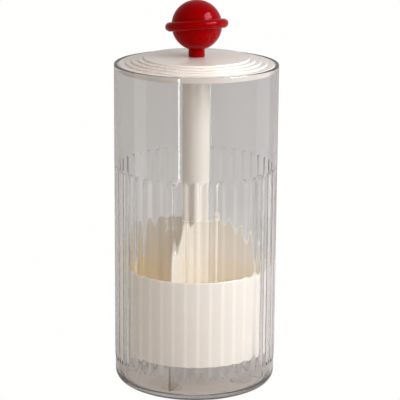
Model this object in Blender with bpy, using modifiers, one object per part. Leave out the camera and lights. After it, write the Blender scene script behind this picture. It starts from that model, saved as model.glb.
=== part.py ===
"""Makeup brush holder: a clear reeded canister with a core that lifts out by its knob.

Blender 4.5 script. Metres, +Z up, origin on the table under the canister's axis, front at -Y.
The core is a stepped lid, a ringed ball knob, a centre post and a four-way brush cup that
turns about the post's foot. Each piece is modelled about its own origin on the axis and is
placed by its location under the empty of the body that it moves with.
"""

from math import acos, atan2, cos, pi, radians, sin, sqrt, tan

import bmesh
import bpy
from mathutils import Matrix, Vector

# Fits and clearances
SEAT_GAP = 0.0003           # between pieces that rest on or slide along each other
LID_GAP = 0.0006            # around the lid in the canister's mouth
SCREW_GAP = 0.0003          # around a screw or stud in its hole

# Canister
CANISTER_RADIUS = 0.050     # plain upper wall and reed crests
CANISTER_HEIGHT = 0.200
CANISTER_WALL = 0.002
RIM_ROUNDING = 0.0007
BASE_STEP = 0.0004          # plain base band inside the reed crests
BASE_BAND_HEIGHT = 0.0135
BASE_ROUNDING = 0.0066
FOOT_INSET = 0.005          # foot ring inside the base band
FOOT_WIDTH = 0.0016
FOOT_RECESS = 0.001
FLOOR_THICKNESS = 0.003
FLOOR_ROUNDING = 0.0054

# Reeds of the canister wall, soft waves whose grooves have round ends
REED_COUNT = 41
REED_DEPTH = 0.00045        # from a crest to the groove beside it
REED_TOP = 0.138            # above the canister's bottom
REED_END = 0.0035           # height of a groove's round end
REED_EDGE = 0.0008          # height over which a round end steps to the plain wall
REED_TURN = radians(4.8)    # azimuth of the first crest, from the front towards +X
REED_FACETS = 4

# Ribs moulded on the canister's floor, which carry the cup
RIB_THICKNESS = 0.0015
RIB_HEIGHT = 0.016
RIB_INSET = 0.0035          # from the canister's bore to a rib's end
RIB_ROOT = 0.001            # depth that a rib is rooted in the floor
RIB_TURN = radians(-19.5)

# Round pads under the floor
PAD_COUNT = 4
PAD_RADIUS = 0.0065
PAD_INSET = 0.011           # from the foot ring's bore to a pad's centre
PAD_STANDOFF = 0.0003       # pads proud of the foot ring
PAD_TURN = radians(-25.5)
PAD_ROUNDING = 0.0003

# Brush cup
CUP_GAP = 0.0035            # between the canister's bore and the cup's rim
CUP_DRAFT = 0.001           # narrower at the bottom
CUP_HEIGHT = 0.054
CUP_WALL = 0.0018
CUP_FLOOR = 0.002
CUP_CORNER = 0.0025
CUP_LIP_ROUNDING = 0.0008
CUP_BOSS_RECESS = 0.0045    # under the floor's centre, for the screw and its washer
CUP_BOSS_WALL = 0.0018

# Divider
DIVIDER_THICKNESS = 0.002
SHOULDER_INSET = 0.0037     # from the hub to where an arm's round shoulder starts
DIVIDER_TURN = radians(-19.0)
DIVIDER_ARMS = 4
HUB_WALL = 0.0015
HUB_RISE = 0.0008           # hub above the arms' top edges
ARM_LIFT = 0.0004           # arms above the hub's lower end

# Centre post and the plugs bonded in its ends
POST_RADIUS = 0.0085
POST_WALL = 0.0018
PLUG_LENGTH = 0.014
PLUG_CHAMFER = 0.0008

# Cup screw and washer
SCREW_RADIUS = 0.0015
SCREW_HEAD_HEIGHT = 0.002
SCREW_HEAD_ROUNDING = 0.0012
SCREW_POINT = 0.00075       # rounding of the tip
SCREW_GRIP = 0.010          # length held in the plug
WASHER_GAP = 0.0009         # around the washer in the cup's boss
WASHER_MARGIN = 0.002       # washer beyond the screw's head
WASHER_THICKNESS = 0.0008

# Lid
LID_SKIRT = 0.0038          # below the canister's rim
LID_WALL = 0.0022
LID_BAND = 0.0044           # flat outer band
LID_STEPS = 4
LID_STEP_WIDTH = 0.0035
LID_STEP_HEIGHT = 0.001
LID_STEP_ROUNDING = 0.0009
LID_GROOVE = 0.0003         # depth of the groove at the foot of each step
LID_GROOVE_WIDTH = 0.0006
LID_EDGE_ROUNDING = 0.0006
LID_SOCKET_WALL = 0.0025
LID_SOCKET_DEPTH = 0.012

# Knob and its stud
BALL_RADIUS = 0.0153
BALL_HEIGHT = 0.0189        # ball centre above the lid
STEM_RADIUS = 0.00505
RING_RADIUS = 0.0163
RING_TUBE = 0.00285
RING_TILT = radians(4.5)    # right end up
RING_PITCH = radians(8.4)   # front up
STUD_RADIUS = 0.002
STUD_CHAMFER = 0.0005
STUD_ENGAGEMENT = 0.012     # length held in the knob

# Levels up the axis, each from what it stands on
CANISTER_Z = PAD_STANDOFF
FLOOR_TOP = FOOT_RECESS + FLOOR_THICKNESS
CUP_Z = CANISTER_Z + FLOOR_TOP + RIB_HEIGHT + SEAT_GAP
CUP_BOSS_TOP = CUP_BOSS_RECESS + CUP_FLOOR
POST_Z = CUP_Z + CUP_BOSS_TOP + SEAT_GAP
LID_Z = CANISTER_Z + CANISTER_HEIGHT
LID_RISE = LID_STEPS * LID_STEP_HEIGHT
POST_TOP = LID_Z + LID_RISE - LID_WALL - SEAT_GAP
POST_LENGTH = POST_TOP - POST_Z
KNOB_Z = LID_Z + LID_RISE + SEAT_GAP
WASHER_Z = CUP_Z + CUP_BOSS_RECESS - SEAT_GAP - WASHER_THICKNESS
SCREW_Z = WASHER_Z - SEAT_GAP - SCREW_HEAD_HEIGHT
STUD_Z = POST_TOP - PLUG_LENGTH

# Radii that follow from a neighbour
MOUTH_RADIUS = CANISTER_RADIUS - CANISTER_WALL
BASE_RADIUS = CANISTER_RADIUS - BASE_STEP
FOOT_RADIUS = BASE_RADIUS - FOOT_INSET
FOOT_BORE = FOOT_RADIUS - FOOT_WIDTH
RIB_REACH = MOUTH_RADIUS - RIB_INSET
PAD_PITCH_RADIUS = FOOT_BORE - PAD_INSET
CUP_RADIUS = MOUTH_RADIUS - CUP_GAP
LID_RADIUS = MOUTH_RADIUS - LID_GAP
PLUG_RADIUS = POST_RADIUS - POST_WALL - SEAT_GAP
HUB_BORE = POST_RADIUS + SEAT_GAP
HUB_RADIUS = HUB_BORE + HUB_WALL
ARM_REACH = CUP_RADIUS - CUP_WALL - SEAT_GAP
DIVIDER_SHOULDER = ARM_REACH - HUB_RADIUS - SHOULDER_INSET
BOSS_BORE = POST_RADIUS - CUP_BOSS_WALL
WASHER_RADIUS = BOSS_BORE - WASHER_GAP
SCREW_HEAD_RADIUS = WASHER_RADIUS - WASHER_MARGIN
SCREW_HOLE = SCREW_RADIUS + SCREW_GAP
STUD_HOLE = STUD_RADIUS + SCREW_GAP

MERGE = 0.00001             # distance at which doubled points are welded
CUTTER_MARGIN = 0.005       # length that a cutter runs past a face
ROUND_STEPS = 2             # facets of a small rounding
LONGEST_REACH = 0.49        # share of an edge that a rounding may take
EMPTY_SIZE = 0.02           # drawn size of a body's empty

CANISTER_CUT_FACETS = 64
CUP_FACETS = 52
LID_FACETS = 48
POST_FACETS = 40
SMALL_FACETS = 20
BALL_FACETS = 28
BALL_ROWS = 12
RING_FACETS = 40
RING_TUBE_FACETS = 10
BEND_FACETS = 3
SHOULDER_FACETS = 8


def remove_all_objects():
    for obj in list(bpy.data.objects):
        bpy.data.objects.remove(obj, do_unlink=True)


def new_collection(name):
    collection = bpy.data.collections.new(name)
    bpy.context.scene.collection.children.link(collection)
    return collection


remove_all_objects()
PARTS = new_collection("makeup_brush_holder")
CUTTERS = new_collection("cutters")


def material(name, colour, roughness, metallic=0.0, clear=0.0):
    mat = bpy.data.materials.new(name)
    mat.use_nodes = True
    shader = mat.node_tree.nodes["Principled BSDF"]
    shader.inputs["Base Color"].default_value = (*colour, 1.0)
    shader.inputs["Roughness"].default_value = roughness
    shader.inputs["Metallic"].default_value = metallic
    shader.inputs["Transmission Weight"].default_value = clear
    return mat


def outwards(azimuth):
    """Unit vector of an azimuth, from the front (-Y) towards +X."""
    return Vector((sin(azimuth), -cos(azimuth), 0.0))


def rounded(corners, closed=False, steps=ROUND_STEPS):
    """Profile points from corners (radius, height, rounding); a rounding of 0 stays sharp."""
    points = []
    last = len(corners) - 1
    for i, (x, z, rounding) in enumerate(corners):
        if rounding == 0 or (not closed and i in (0, last)):
            points.append((x, z))
            continue
        corner = Vector((x, z))
        before = Vector(corners[i - 1][:2]) - corner
        after = Vector(corners[(i + 1) % len(corners)][:2]) - corner
        half_angle = before.angle(after) / 2
        longest = LONGEST_REACH * min(before.length, after.length)
        reach = min(rounding / tan(half_angle), longest)
        radius = reach * tan(half_angle)
        bisector = (before.normalized() + after.normalized()).normalized()
        centre = corner + bisector * radius / sin(half_angle)
        start = corner + before.normalized() * reach - centre
        end = corner + after.normalized() * reach - centre
        first = atan2(start.y, start.x)
        sweep = (atan2(end.y, end.x) - first + pi) % (2 * pi) - pi
        points += arc(centre.x, centre.y, radius, first, first + sweep, steps)
    return points


def arc(centre_x, centre_z, radius, start, end, steps):
    """Points on an arc, angles in radians from the +X direction."""
    angles = [start + (end - start) * k / steps for k in range(steps + 1)]
    return [(centre_x + radius * cos(a), centre_z + radius * sin(a)) for a in angles]


def lathe(name, profile, facets, closed=False, collection=PARTS):
    """Turn a half profile, which runs down its outer side, about Z."""
    count = len(profile)
    edges = [(i, i + 1) for i in range(count - 1)]
    if closed:
        edges.append((count - 1, 0))
    mesh = bpy.data.meshes.new(name)
    mesh.from_pydata([(x, 0.0, z) for x, z in profile], edges, [])
    obj = bpy.data.objects.new(name, mesh)
    collection.objects.link(obj)
    screw = obj.modifiers.new("Turn", "SCREW")
    screw.axis = "Z"
    screw.angle = 2 * pi
    screw.steps = facets
    screw.render_steps = facets
    screw.use_merge_vertices = True
    screw.merge_threshold = MERGE
    return obj


def bake(obj):
    """Apply an object's modifiers, weld its doubled points and drop its old mesh."""
    bpy.context.view_layer.update()
    evaluated = obj.evaluated_get(bpy.context.evaluated_depsgraph_get())
    mesh = bpy.data.meshes.new_from_object(evaluated)
    mesh.name = obj.name
    if obj.type == "CURVE":
        replacement = bpy.data.objects.new(obj.name, mesh)
        replacement.matrix_world = obj.matrix_world
        obj.users_collection[0].objects.link(replacement)
        bpy.data.objects.remove(obj, do_unlink=True)
        replacement.name = mesh.name
        obj = replacement
    else:
        obj.modifiers.clear()
        obj.data = mesh
    shape = bmesh.new()
    shape.from_mesh(mesh)
    bmesh.ops.remove_doubles(shape, verts=shape.verts, dist=MERGE)
    shape.to_mesh(mesh)
    shape.free()
    return obj


def combine(obj, others, operation):
    """Boolean an object with others, which stay as hidden guides among the cutters."""
    for other in others:
        if other.name in PARTS.objects:
            PARTS.objects.unlink(other)
            CUTTERS.objects.link(other)
        other.display_type = "WIRE"
        other.hide_render = True
        boolean = obj.modifiers.new(operation.title(), "BOOLEAN")
        boolean.operation = operation
        boolean.solver = "EXACT"
        boolean.object = other
    obj = bake(obj)
    for other in others:
        other.hide_set(True)
    return obj


def finish(obj, mat, parent, height, turn=0.0, smooth_below=35.0):
    """Give a piece its material and shading, and place it under its body's empty."""
    obj = bake(obj) if obj.modifiers else obj
    obj.data.materials.clear()
    obj.data.materials.append(mat)
    obj.data.shade_smooth()
    obj.data.set_sharp_from_angle(angle=radians(smooth_below))
    obj.parent = parent
    obj.location = (0.0, 0.0, height)
    obj.rotation_euler = (0.0, 0.0, turn)
    return obj


def body_empty(name, parent=None):
    empty = bpy.data.objects.new(name, None)
    empty.empty_display_size = EMPTY_SIZE
    empty.parent = parent
    PARTS.objects.link(empty)
    return empty


def plain_radius(height):
    """Outer radius of the plain bands above and below the middle of the reeds."""
    if height > (BASE_BAND_HEIGHT + REED_TOP) / 2:
        return CANISTER_RADIUS
    return BASE_RADIUS


def groove_offset(azimuth):
    """Sideways place in a groove: 0 along its middle, 1 on the crests beside it."""
    turns = (azimuth - REED_TURN) * REED_COUNT / (2 * pi)
    return abs(2 * (turns % 1.0) - 1)


def round_end(offset):
    """How far a groove's round end falls short at an offset from its middle."""
    return REED_END * (1 - sqrt(max(0.0, 1 - offset ** 2)))


def reeded_radius(azimuth, height):
    """Outer radius of the reeded band: waves that fade out along the grooves' round ends."""
    offset = groove_offset(azimuth)
    from_end = min(height - BASE_BAND_HEIGHT, REED_TOP - height) - round_end(offset)
    share = min(1.0, max(0.0, from_end / REED_EDGE))
    wave = CANISTER_RADIUS - REED_DEPTH * (1 + cos(pi * offset)) / 2
    return plain_radius(height) * (1 - share) + wave * share


def reed_rows():
    """Heights of the reeded band's rows, top to bottom: close together at the reeds' ends."""
    flank = round_end(2 / REED_FACETS)
    from_end = [0.0, flank + REED_EDGE, REED_END + REED_EDGE]
    upper = [REED_TOP - d for d in from_end]
    lower = [BASE_BAND_HEIGHT + d for d in reversed(from_end)]
    return upper + lower


def canister_blank():
    """The canister's outside as a solid, its reeds pulled in from the turned wall."""
    bend_x = BASE_RADIUS - BASE_ROUNDING
    foot_angle = -acos((BASE_ROUNDING - FOOT_INSET) / BASE_ROUNDING)
    upper = rounded([
        (0.0, CANISTER_HEIGHT, 0.0),
        (CANISTER_RADIUS, CANISTER_HEIGHT, RIM_ROUNDING),
        (CANISTER_RADIUS, REED_TOP, 0.0),
    ], steps=1)[:-1]
    reeds = [(plain_radius(z), z) for z in reed_rows()]
    bend = arc(bend_x, BASE_ROUNDING, BASE_ROUNDING, 0.0, foot_angle, BEND_FACETS)
    foot = [(FOOT_RADIUS, 0.0), (0.0, 0.0)]
    obj = bake(lathe("canister", upper + reeds + bend + foot, REED_COUNT * REED_FACETS))
    obj.data.transform(Matrix.Rotation(REED_TURN - pi / 2, 4, "Z"))
    for vertex in obj.data.vertices:
        x, y, z = vertex.co
        if sqrt(x * x + y * y) < FOOT_RADIUS or not BASE_BAND_HEIGHT < z < REED_TOP:
            continue
        azimuth = Vector((-y, x)).angle_signed(Vector((1.0, 0.0)))
        radius = reeded_radius(azimuth, z)
        vertex.co = outwards(azimuth) * radius + Vector((0.0, 0.0, z))
    return obj


def canister_hollow():
    top = CANISTER_HEIGHT + CUTTER_MARGIN
    profile = rounded([
        (0.0, top, 0.0),
        (MOUTH_RADIUS, top, 0.0),
        (MOUTH_RADIUS, FLOOR_TOP, FLOOR_ROUNDING),
        (0.0, FLOOR_TOP, 0.0),
    ])
    return lathe("canister_hollow", profile, CANISTER_CUT_FACETS, collection=CUTTERS)


def foot_recess():
    below = -CUTTER_MARGIN
    profile = [(0.0, FOOT_RECESS), (FOOT_BORE, FOOT_RECESS), (FOOT_BORE, below), (0.0, below)]
    return lathe("foot_recess", profile, CANISTER_CUT_FACETS, collection=CUTTERS)


def floor_rib(name, azimuth):
    """One bar across the floor, which makes two opposite ribs."""
    shape = bmesh.new()
    size = Matrix.Diagonal((RIB_THICKNESS, 2 * RIB_REACH, RIB_HEIGHT + RIB_ROOT, 1.0))
    centre = Matrix.Translation((0.0, 0.0, FLOOR_TOP + (RIB_HEIGHT - RIB_ROOT) / 2))
    bmesh.ops.create_cube(shape, size=1.0, matrix=Matrix.Rotation(azimuth, 4, "Z") @ centre @ size)
    mesh = bpy.data.meshes.new(name)
    shape.to_mesh(mesh)
    shape.free()
    obj = bpy.data.objects.new(name, mesh)
    CUTTERS.objects.link(obj)
    return obj


def build_canister(mat, parent):
    obj = canister_blank()
    obj = combine(obj, [canister_hollow(), foot_recess()], "DIFFERENCE")
    ribs = [floor_rib(f"floor_rib_{i + 1}", RIB_TURN + i * pi / 2) for i in range(2)]
    obj = combine(obj, ribs, "UNION")
    return finish(obj, mat, parent, CANISTER_Z)


def build_pads(mat, parent):
    thickness = PAD_STANDOFF + FOOT_RECESS - SEAT_GAP
    profile = rounded([
        (0.0, thickness, 0.0),
        (PAD_RADIUS, thickness, 0.0),
        (PAD_RADIUS, 0.0, PAD_ROUNDING),
        (0.0, 0.0, 0.0),
    ], steps=1)
    for i in range(PAD_COUNT):
        pad = lathe(f"foot_pad_{i + 1}", profile, SMALL_FACETS)
        pad = finish(pad, mat, parent, 0.0)
        place = outwards(PAD_TURN + i * 2 * pi / PAD_COUNT) * PAD_PITCH_RADIUS
        pad.location = place


def cup_inner_radius(height):
    """The cup's inside radius at a height above its bottom."""
    return CUP_RADIUS - CUP_DRAFT * (1 - height / CUP_HEIGHT) - CUP_WALL


def build_cup(mat, parent):
    profile = rounded([
        (CUP_RADIUS, CUP_HEIGHT, CUP_LIP_ROUNDING),
        (CUP_RADIUS - CUP_DRAFT, 0.0, CUP_CORNER),
        (BOSS_BORE, 0.0, 0.0),
        (BOSS_BORE, CUP_BOSS_RECESS, 0.0),
        (SCREW_HOLE, CUP_BOSS_RECESS, 0.0),
        (SCREW_HOLE, CUP_BOSS_TOP, 0.0),
        (POST_RADIUS, CUP_BOSS_TOP, 0.0),
        (POST_RADIUS, CUP_FLOOR, 0.0),
        (cup_inner_radius(CUP_FLOOR), CUP_FLOOR, CUP_CORNER),
        (cup_inner_radius(CUP_HEIGHT), CUP_HEIGHT, CUP_LIP_ROUNDING),
    ], closed=True)
    return finish(lathe("brush_cup", profile, CUP_FACETS, closed=True), mat, parent, CUP_Z)


def arm_outline():
    """One divider arm as (radius, height) above the cup's bottom, from hub to wall."""
    bottom = CUP_FLOOR + SEAT_GAP + ARM_LIFT
    root = HUB_BORE + HUB_WALL / 2
    foot = cup_inner_radius(bottom) - SEAT_GAP
    shoulder_x = HUB_RADIUS + SHOULDER_INSET
    shoulder = arc(shoulder_x, CUP_HEIGHT, DIVIDER_SHOULDER, 0.0, pi / 2, SHOULDER_FACETS)
    top = CUP_HEIGHT + DIVIDER_SHOULDER
    corner = [(root, bottom), (foot - CUP_CORNER, bottom), (foot, bottom + CUP_CORNER)]
    return corner + shoulder + [(root, top)]


def divider_arm(name, azimuth):
    curve = bpy.data.curves.new(name, "CURVE")
    curve.dimensions = "2D"
    curve.fill_mode = "BOTH"
    curve.extrude = DIVIDER_THICKNESS / 2
    points = arm_outline()
    spline = curve.splines.new("POLY")
    spline.points.add(len(points) - 1)
    for point, (x, z) in zip(spline.points, points):
        point.co = (x, z, 0.0, 1.0)
    spline.use_cyclic_u = True
    obj = bpy.data.objects.new(name, curve)
    CUTTERS.objects.link(obj)
    upright = Matrix.Rotation(pi / 2, 4, "X")
    obj.matrix_world = Matrix.Rotation(azimuth - pi / 2, 4, "Z") @ upright
    return bake(obj)


def build_divider(mat, parent):
    low = CUP_FLOOR + SEAT_GAP
    top = CUP_HEIGHT + DIVIDER_SHOULDER + HUB_RISE
    profile = [(HUB_RADIUS, top), (HUB_RADIUS, low), (HUB_BORE, low), (HUB_BORE, top)]
    hub = bake(lathe("divider_cross", profile, POST_FACETS, closed=True))
    arms = [
        divider_arm(f"divider_arm_{i + 1}", DIVIDER_TURN + i * 2 * pi / DIVIDER_ARMS)
        for i in range(DIVIDER_ARMS)
    ]
    return finish(combine(hub, arms, "UNION"), mat, parent, CUP_Z)


def build_post(mat, parent):
    bore = POST_RADIUS - POST_WALL
    profile = [(POST_RADIUS, POST_LENGTH), (POST_RADIUS, 0.0), (bore, 0.0), (bore, POST_LENGTH)]
    return finish(lathe("centre_post", profile, POST_FACETS, closed=True), mat, parent, POST_Z)


def build_plug(name, hole, mat, parent, height):
    profile = rounded([
        (PLUG_RADIUS, PLUG_LENGTH, PLUG_CHAMFER),
        (PLUG_RADIUS, 0.0, PLUG_CHAMFER),
        (hole, 0.0, 0.0),
        (hole, PLUG_LENGTH, 0.0),
    ], closed=True, steps=1)
    return finish(lathe(name, profile, SMALL_FACETS, closed=True), mat, parent, height)


def build_cup_screw(mat, parent):
    tip = POST_Z - SCREW_Z + SCREW_GRIP
    profile = rounded([
        (0.0, tip, 0.0),
        (SCREW_RADIUS, tip, SCREW_POINT),
        (SCREW_RADIUS, SCREW_HEAD_HEIGHT, 0.0),
        (SCREW_HEAD_RADIUS, SCREW_HEAD_HEIGHT, 0.0),
        (SCREW_HEAD_RADIUS, 0.0, SCREW_HEAD_ROUNDING),
        (0.0, 0.0, 0.0),
    ])
    return finish(lathe("cup_screw", profile, SMALL_FACETS), mat, parent, SCREW_Z)


def build_washer(mat, parent):
    profile = [
        (WASHER_RADIUS, WASHER_THICKNESS),
        (WASHER_RADIUS, 0.0),
        (SCREW_HOLE, 0.0),
        (SCREW_HOLE, WASHER_THICKNESS),
    ]
    return finish(lathe("cup_washer", profile, SMALL_FACETS, closed=True), mat, parent, WASHER_Z)


def lid_terraces():
    """Corners of the lid's top from the plateau out and down to the flat outer band."""
    band_edge = LID_RADIUS - LID_BAND
    corners = []
    for i in range(LID_STEPS):
        edge = band_edge - (LID_STEPS - 1 - i) * LID_STEP_WIDTH
        level = LID_RISE - i * LID_STEP_HEIGHT
        corners.append((edge, level, LID_STEP_ROUNDING))
        corners.append((edge, level - LID_STEP_HEIGHT - LID_GROOVE, 0.0))
        corners.append((edge + LID_GROOVE_WIDTH, level - LID_STEP_HEIGHT, 0.0))
    return corners


def build_lid(mat, parent):
    skirt_bore = LID_RADIUS - LID_WALL
    hollow = LID_RADIUS - LID_BAND - LID_STEPS * LID_STEP_WIDTH
    socket = POST_RADIUS + SEAT_GAP
    socket_outer = socket + LID_SOCKET_WALL
    ceiling = LID_RISE - LID_WALL
    corners = [(STUD_HOLE, LID_RISE, 0.0)] + lid_terraces() + [
        (LID_RADIUS, 0.0, LID_EDGE_ROUNDING),
        (LID_RADIUS, -LID_SKIRT, 0.0),
        (skirt_bore, -LID_SKIRT, 0.0),
        (skirt_bore, -LID_WALL, 0.0),
        (hollow, ceiling, 0.0),
        (socket_outer, ceiling, 0.0),
        (socket_outer, ceiling - LID_SOCKET_DEPTH, 0.0),
        (socket, ceiling - LID_SOCKET_DEPTH, 0.0),
        (socket, ceiling, 0.0),
        (STUD_HOLE, ceiling, 0.0),
    ]
    profile = rounded(corners, closed=True, steps=2)
    return finish(lathe("lid", profile, LID_FACETS, closed=True), mat, parent, LID_Z)


def knob_ring():
    bpy.ops.mesh.primitive_torus_add(
        major_radius=RING_RADIUS, minor_radius=RING_TUBE,
        major_segments=RING_FACETS, minor_segments=RING_TUBE_FACETS)
    ring = bpy.context.object
    ring.name = "knob_ring"
    for collection in ring.users_collection:
        collection.objects.unlink(ring)
    CUTTERS.objects.link(ring)
    ring.location = (0.0, 0.0, BALL_HEIGHT)
    ring.rotation_euler = (-RING_PITCH, -RING_TILT, 0.0)
    return ring


def build_knob(mat, parent):
    """Stem, ball and tilted ring in one piece, with a blind hole for the stud."""
    meet = -pi / 2 + STEM_RADIUS / BALL_RADIUS
    ball = arc(0.0, BALL_HEIGHT, BALL_RADIUS, pi / 2, meet, BALL_ROWS)
    hole_top = STUD_ENGAGEMENT + SCREW_GAP
    stem = [
        (STEM_RADIUS, 0.0),
        (STUD_HOLE, 0.0),
        (STUD_HOLE, hole_top),
        (0.0, hole_top),
    ]
    profile = [(0.0, BALL_HEIGHT + BALL_RADIUS)] + ball[1:] + stem
    obj = bake(lathe("knob", profile, BALL_FACETS))
    return finish(combine(obj, [knob_ring()], "UNION"), mat, parent, KNOB_Z)


def build_stud(mat, parent):
    length = KNOB_Z - STUD_Z + STUD_ENGAGEMENT
    profile = rounded([
        (0.0, length, 0.0),
        (STUD_RADIUS, length, STUD_CHAMFER),
        (STUD_RADIUS, 0.0, STUD_CHAMFER),
        (0.0, 0.0, 0.0),
    ], steps=1)
    return finish(lathe("knob_stud", profile, SMALL_FACETS), mat, parent, STUD_Z)


def build():
    clear = material("clear_grey_plastic", (0.80, 0.79, 0.77), 0.05, clear=1.0)
    cream = material("cream_gloss_plastic", (0.86, 0.80, 0.72), 0.25)
    red = material("red_gloss_plastic", (0.30, 0.0, 0.002), 0.10)
    rubber = material("clear_soft_rubber", (0.60, 0.58, 0.55), 0.50, clear=0.5)
    white = material("white_plain_plastic", (0.75, 0.73, 0.70), 0.45)
    steel = material("zinc_plated_steel", (0.62, 0.62, 0.60), 0.30, metallic=1.0)

    canister = body_empty("canister_body")
    lift_core = body_empty("lift_core_body", canister)
    turning_cup = body_empty("turning_cup_body", lift_core)

    build_canister(clear, canister)
    build_pads(rubber, canister)
    build_lid(cream, lift_core)
    build_knob(red, lift_core)
    build_stud(steel, lift_core)
    build_post(cream, lift_core)
    build_plug("post_top_plug", STUD_HOLE, white, lift_core, POST_TOP - PLUG_LENGTH)
    build_plug("post_foot_plug", SCREW_HOLE, white, lift_core, POST_Z)
    build_cup_screw(steel, lift_core)
    build_washer(steel, lift_core)
    build_cup(cream, turning_cup)
    build_divider(cream, turning_cup)


build()
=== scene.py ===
"""Looks of the makeup brush holder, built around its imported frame.

Metres, +Z up, front at -Y, as in the frame. Heights in a piece's profile are above that piece's
own bottom; each piece is moved up to its level once it is made.
"""
from math import acos, atan2, cos, pi, radians, sin, sqrt, tan

import bmesh
import bpy
from mathutils import Matrix, Vector


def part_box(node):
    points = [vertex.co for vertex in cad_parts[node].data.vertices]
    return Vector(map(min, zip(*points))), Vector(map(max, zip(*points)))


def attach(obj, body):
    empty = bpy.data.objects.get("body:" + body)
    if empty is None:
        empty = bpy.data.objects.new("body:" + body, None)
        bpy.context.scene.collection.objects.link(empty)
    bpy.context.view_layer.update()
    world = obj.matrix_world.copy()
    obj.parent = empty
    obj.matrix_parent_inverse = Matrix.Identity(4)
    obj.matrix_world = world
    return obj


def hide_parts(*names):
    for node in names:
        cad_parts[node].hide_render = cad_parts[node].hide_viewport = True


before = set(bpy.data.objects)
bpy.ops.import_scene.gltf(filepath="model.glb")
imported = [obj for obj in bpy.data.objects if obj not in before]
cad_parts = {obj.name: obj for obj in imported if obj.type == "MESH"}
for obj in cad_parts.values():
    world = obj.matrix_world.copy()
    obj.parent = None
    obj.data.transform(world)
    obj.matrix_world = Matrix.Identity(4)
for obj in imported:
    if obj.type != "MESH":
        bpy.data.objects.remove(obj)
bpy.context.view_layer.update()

# Canister
CANISTER_RADIUS = 0.04999
CANISTER_HEIGHT = 0.200
MOUTH_RADIUS = 0.048
RIM_ROUNDING = 0.0007
LIP_ROUNDING = 0.0005
BASE_RADIUS = 0.0496
BASE_BAND_HEIGHT = 0.0135
BASE_ROUNDING = 0.0066
FOOT_RADIUS = 0.0446
FOOT_BORE = 0.0430
FOOT_RECESS = 0.001
FOOT_ROUNDING = 0.0003
FLOOR_TOP = 0.004
FLOOR_ROUNDING = 0.0054
REED_COUNT = 41
REED_DEPTH = 0.00052
REED_TOP = 0.138
REED_END = 0.0045               # length of the round end of the groove between two reeds
REED_EDGE = 0.0014              # over which a groove sinks in at its end
REED_TURN = radians(4.4)
REED_COLUMNS = (-1.0, -0.93, -0.82, -0.65, -0.45, -0.22, 0.0, 0.22, 0.45, 0.65, 0.82, 0.93)
REED_END_STEPS = (0.0, 0.2, 0.4, 0.6, 0.8, 1.0)
REED_SPANS = 4                  # between the rings of a groove's straight length
RIB_THICKNESS = 0.0015
RIB_HEIGHT = 0.016
RIB_REACH = 0.0445
RIB_FOOT_GAP = 0.0004
RIB_TURN = radians(-19.5)
RIB_BEVEL = 0.00025

# Core
CUP_RADIUS = 0.0445
CUP_DRAFT = 0.001
CUP_HEIGHT = 0.054
CUP_WALL = 0.0018
CUP_LIP = 0.0008
CUP_FLOOR = 0.002
CUP_CORNER = 0.0025
CUP_FOOT_ROUNDING = 0.0008
CUP_RECESS_RADIUS = 0.0067
CUP_RECESS_ROUNDING = 0.0004
CUP_BOSS_RECESS = 0.0045
CUP_BOSS_TOP = 0.0065
DIVIDER_THICKNESS = 0.002
DIVIDER_EDGE = 0.0004
DIVIDER_SHOULDER = 0.0284
DIVIDER_TURN = radians(-19.0)
ARM_LIFT = 0.0004               # of the divider's arms above its hub's foot
HUB_BORE = 0.0088
HUB_RADIUS = 0.0103
HUB_RISE = 0.0008
HUB_ROUNDING = 0.0004
POST_RADIUS = 0.0085
POST_BORE = 0.0067
POST_ROUNDING = 0.0003
PLUG_RADIUS = 0.0064
PLUG_LENGTH = 0.014
PLUG_ROUNDING = 0.0008
SCREW_RADIUS = 0.0015
SCREW_HEAD_RADIUS = 0.0038
SCREW_HEAD_HEIGHT = 0.002
SCREW_HEAD_ROUNDING = 0.0012
SCREW_NECK = 0.0015
SCREW_PITCH = 0.0011
SCREW_HOLE = 0.0018
DRIVE_LENGTH = 0.0042
DRIVE_WIDTH = 0.0008
DRIVE_DEPTH = 0.0011
DRIVE_TURN = radians(20)
STUD_RADIUS = 0.002
STUD_PITCH = 0.0007
STUD_HOLE = 0.0023
THREAD_DEPTH = 0.0004
THREAD_FACETS = 24
THREAD_ROWS = 6                 # in one turn, over which a thread also runs out at its ends
WASHER_RADIUS = 0.0058
SEAT_GAP = 0.0003

# Lid and knob
LID_RADIUS = 0.0474
LID_SKIRT = 0.0038
LID_WALL = 0.0022
LID_BAND = 0.0044
LID_STEPS = 4
LID_STEP_WIDTH = 0.0035
LID_STEP_HEIGHT = 0.001
LID_STEP_ROUNDING = 0.0009
LID_GROOVE = 0.0003
LID_EDGE_ROUNDING = 0.0006
LID_SOCKET_RADIUS = 0.0113
LID_SOCKET_DEPTH = 0.012
BALL_RADIUS = 0.0153
BALL_HEIGHT = 0.0189
STEM_RADIUS = 0.00505
RING_RADIUS = 0.0163
RING_TUBE = 0.00285
RING_TILT = radians(4.5)
RING_PITCH = radians(8.4)
KNOB_HOLE_DEPTH = 0.0123

# Roundings of small edges, from the crispest
CRISP_EDGE = 0.0001
FINE_EDGE = 0.0002
EASED_EDGE = 0.0003
SOFT_EDGE = 0.0005

# Rings that keep a face beside a rounding flat, by their distance from it
HOLD = 0.0005
REED_HOLD = 0.001
WALL_HOLD = 0.02

WELD = 0.000002


def outwards(azimuth):
    """Unit vector of an azimuth, from the front (-Y) towards +X."""
    return Vector((sin(azimuth), -cos(azimuth), 0.0))


def at(azimuth, radius, height):
    return outwards(azimuth) * radius + Vector((0.0, 0.0, height))


def arc(centre_x, centre_z, radius, start, end, steps):
    """Points on an arc, angles in radians from the +X direction."""
    angles = [start + (end - start) * k / steps for k in range(steps + 1)]
    return [(centre_x + radius * cos(a), centre_z + radius * sin(a)) for a in angles]


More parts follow.
